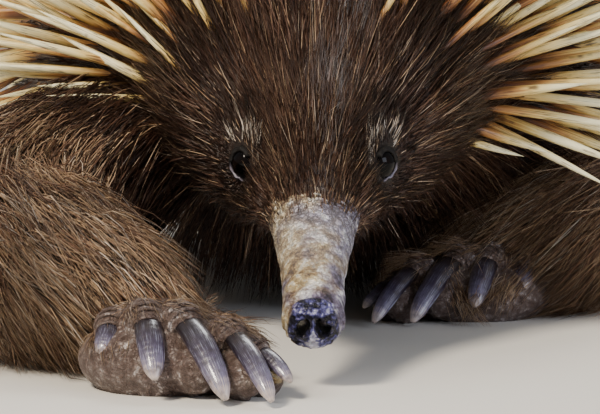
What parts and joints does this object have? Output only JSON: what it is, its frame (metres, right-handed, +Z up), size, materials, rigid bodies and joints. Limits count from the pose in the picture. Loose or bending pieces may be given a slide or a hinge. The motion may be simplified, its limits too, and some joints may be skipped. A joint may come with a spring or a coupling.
{
  "type": "life-size model of a short-beaked echidna",
  "caption": "Still life-size echidna nosing along the ground, right forepaw forward, with a slim bare beak, spiny back, furry legs and long digging claws.",
  "frame": {"origin": "middle of the animal's box, on the floor that its soles rest on", "axes": "+Z up, the beak towards -Y, the animal's left side towards +X"},
  "size_m": [0.2382, 0.423, 0.1716],
  "materials": {
    "brown_fur": "long brown hair",
    "spine_coat": "cream spines with brown roots over brown fur",
    "mottled_skin": "bare mottled grey and tan skin",
    "paw_skin": "wrinkled brown skin",
    "grey_horn": "smooth grey horn",
    "dark_eye": "wet black eye"
  },
  "bodies": {
    "root": {"beak": "mottled_skin", "head": "brown_fur", "eye_left": "dark_eye", "eye_right": "dark_eye", "ear_left": "brown_fur", "ear_right": "brown_fur", "neck": "brown_fur", "torso": "spine_coat", "tail": "spine_coat", "foreleg_left": "brown_fur", "foreleg_right": "brown_fur", "hindleg_left": "brown_fur", "hindleg_right": "brown_fur", "forefoot_left": "paw_skin", "forefoot_left_claw_1": "grey_horn", "forefoot_left_claw_2": "grey_horn", "forefoot_left_claw_3": "grey_horn", "forefoot_left_claw_4": "grey_horn", "forefoot_left_claw_5": "grey_horn", "forefoot_right": "paw_skin", "forefoot_right_claw_1": "grey_horn", "forefoot_right_claw_2": "grey_horn", "forefoot_right_claw_3": "grey_horn", "forefoot_right_claw_4": "grey_horn", "forefoot_right_claw_5": "grey_horn", "hindfoot_left": "paw_skin", "hindfoot_left_claw_1": "grey_horn", "hindfoot_left_claw_2": "grey_horn", "hindfoot_left_claw_3": "grey_horn", "hindfoot_left_claw_4": "grey_horn", "hindfoot_left_claw_5": "grey_horn", "hindfoot_right": "paw_skin", "hindfoot_right_claw_1": "grey_horn", "hindfoot_right_claw_2": "grey_horn", "hindfoot_right_claw_3": "grey_horn", "hindfoot_right_claw_4": "grey_horn", "hindfoot_right_claw_5": "grey_horn"}
  },
  "joints": []
}
